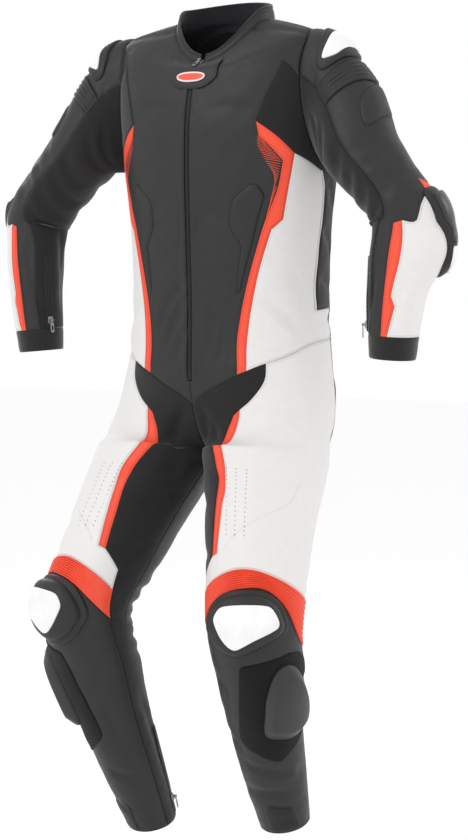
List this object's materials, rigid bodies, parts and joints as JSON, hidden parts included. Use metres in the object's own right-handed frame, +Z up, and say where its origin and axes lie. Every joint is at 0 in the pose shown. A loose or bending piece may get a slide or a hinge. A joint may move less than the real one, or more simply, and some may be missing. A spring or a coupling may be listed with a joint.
{
  "type": "motorcycle race suit",
  "caption": "One-piece leather motorcycle race suit in its worn pose, with stretch panels, ribbed knees, hard shoulder, elbow and knee cups, knee sliders and closed zips",
  "frame": {"origin": "on the mid-plane between the shoulders, at the height where the suit hangs on the wearer's shoulders", "axes": "+Z up, the suit faces -Y, its own left side is +X"},
  "size_m": [0.8635, 0.3988, 1.3633],
  "materials": {
    "black_leather": "black grained cowhide with a soft satin sheen",
    "white_leather": "white smooth pigmented cowhide, satin",
    "red_leather": "fluorescent red pigmented cowhide, satin",
    "stretch_textile": "black ripstop stretch textile, matt",
    "cuff_neoprene": "black knitted neoprene, matt",
    "hook_fabric": "black loop pile for the slider's hooks, matt and fuzzy",
    "white_shell": "white moulded polyurethane, semi-gloss",
    "black_shell": "black moulded polyurethane, satin",
    "slider_puck": "black wear-resistant slider puck, satin",
    "badge_rubber": "red moulded rubber badge, plain",
    "zip_metal": "dark coated metal zip"
  },
  "bodies": {
    "suit": {"collar": "black_leather", "collar_flap": "black_leather", "badge": "badge_rubber", "main_zip": "zip_metal", "front_left": "black_leather", "side_stripe_left": "red_leather", "side_white_left": "white_leather", "underarm_stretch_left": "stretch_textile", "front_right": "black_leather", "side_stripe_right": "red_leather", "side_white_right": "white_leather", "underarm_stretch_right": "stretch_textile", "back": "black_leather", "shoulder_cap_left": "black_leather", "shoulder_cup_left": "white_shell", "arm_ribs_left": "black_leather", "sleeve_leather_left": "black_leather", "sleeve_stretch_left": "stretch_textile", "cuff_zip_left": "zip_metal", "cuff_left": "cuff_neoprene", "forearm_stripe_left": "red_leather", "forearm_white_left": "white_leather", "elbow_cup_left": "black_shell", "shoulder_cap_right": "black_leather", "shoulder_cup_right": "white_shell", "arm_ribs_right": "black_leather", "sleeve_leather_right": "black_leather", "sleeve_stretch_right": "stretch_textile", "cuff_zip_right": "zip_metal", "cuff_right": "cuff_neoprene", "forearm_stripe_right": "red_leather", "forearm_white_right": "white_leather", "elbow_cup_right": "black_shell", "crotch_stretch_left": "stretch_textile", "thigh_stripe_left": "red_leather", "thigh_white_left": "white_leather", "seat_thigh_back_left": "black_leather", "calf_left": "stretch_textile", "ankle_zip_left": "zip_metal", "knee_ribs_left": "red_leather", "shin_left": "black_leather", "knee_cup_left": "white_shell", "hook_panel_left": "hook_fabric", "knee_slider_left": "slider_puck", "crotch_stretch_right": "stretch_textile", "thigh_stripe_right": "red_leather", "thigh_white_right": "white_leather", "seat_thigh_back_right": "black_leather", "calf_right": "stretch_textile", "ankle_zip_right": "zip_metal", "knee_ribs_right": "red_leather", "shin_right": "black_leather", "knee_cup_right": "white_shell", "hook_panel_right": "hook_fabric", "knee_slider_right": "slider_puck"},
    "main_pull_tab": {"main_pull": "zip_metal"},
    "cuff_pull_left_tab": {"cuff_pull_left": "zip_metal"},
    "cuff_pull_right_tab": {"cuff_pull_right": "zip_metal"},
    "ankle_pull_left_tab": {"ankle_pull_left": "zip_metal"},
    "ankle_pull_right_tab": {"ankle_pull_right": "zip_metal"}
  },
  "joints": [
    {"name": "main_pull_hinge", "type": "hinge", "parent": "suit", "child": "main_pull_tab", "pos_m": [0, -0.09469, -0.06094], "axis": [-1, 0, 0], "range_deg": [0, 150]},
    {"name": "cuff_pull_left_hinge", "type": "hinge", "parent": "suit", "child": "cuff_pull_left_tab", "pos_m": [0.29884, -0.08942, -0.47931], "axis": [-0.4401, 0.8945, 0.0782], "range_deg": [0, 150]},
    {"name": "cuff_pull_right_hinge", "type": "hinge", "parent": "suit", "child": "cuff_pull_right_tab", "pos_m": [-0.29884, -0.08942, -0.47931], "axis": [-0.4401, -0.8945, -0.0782], "range_deg": [0, 150]},
    {"name": "ankle_pull_left_hinge", "type": "hinge", "parent": "suit", "child": "ankle_pull_left_tab", "pos_m": [0.086, -0.03761, -1.2424], "axis": [0.4139, 0.8239, 0.387], "range_deg": [0, 150]},
    {"name": "ankle_pull_right_hinge", "type": "hinge", "parent": "suit", "child": "ankle_pull_right_tab", "pos_m": [-0.08599, -0.03761, -1.26628], "axis": [0.4109, -0.8363, -0.3631], "range_deg": [0, 150]}
  ]
}
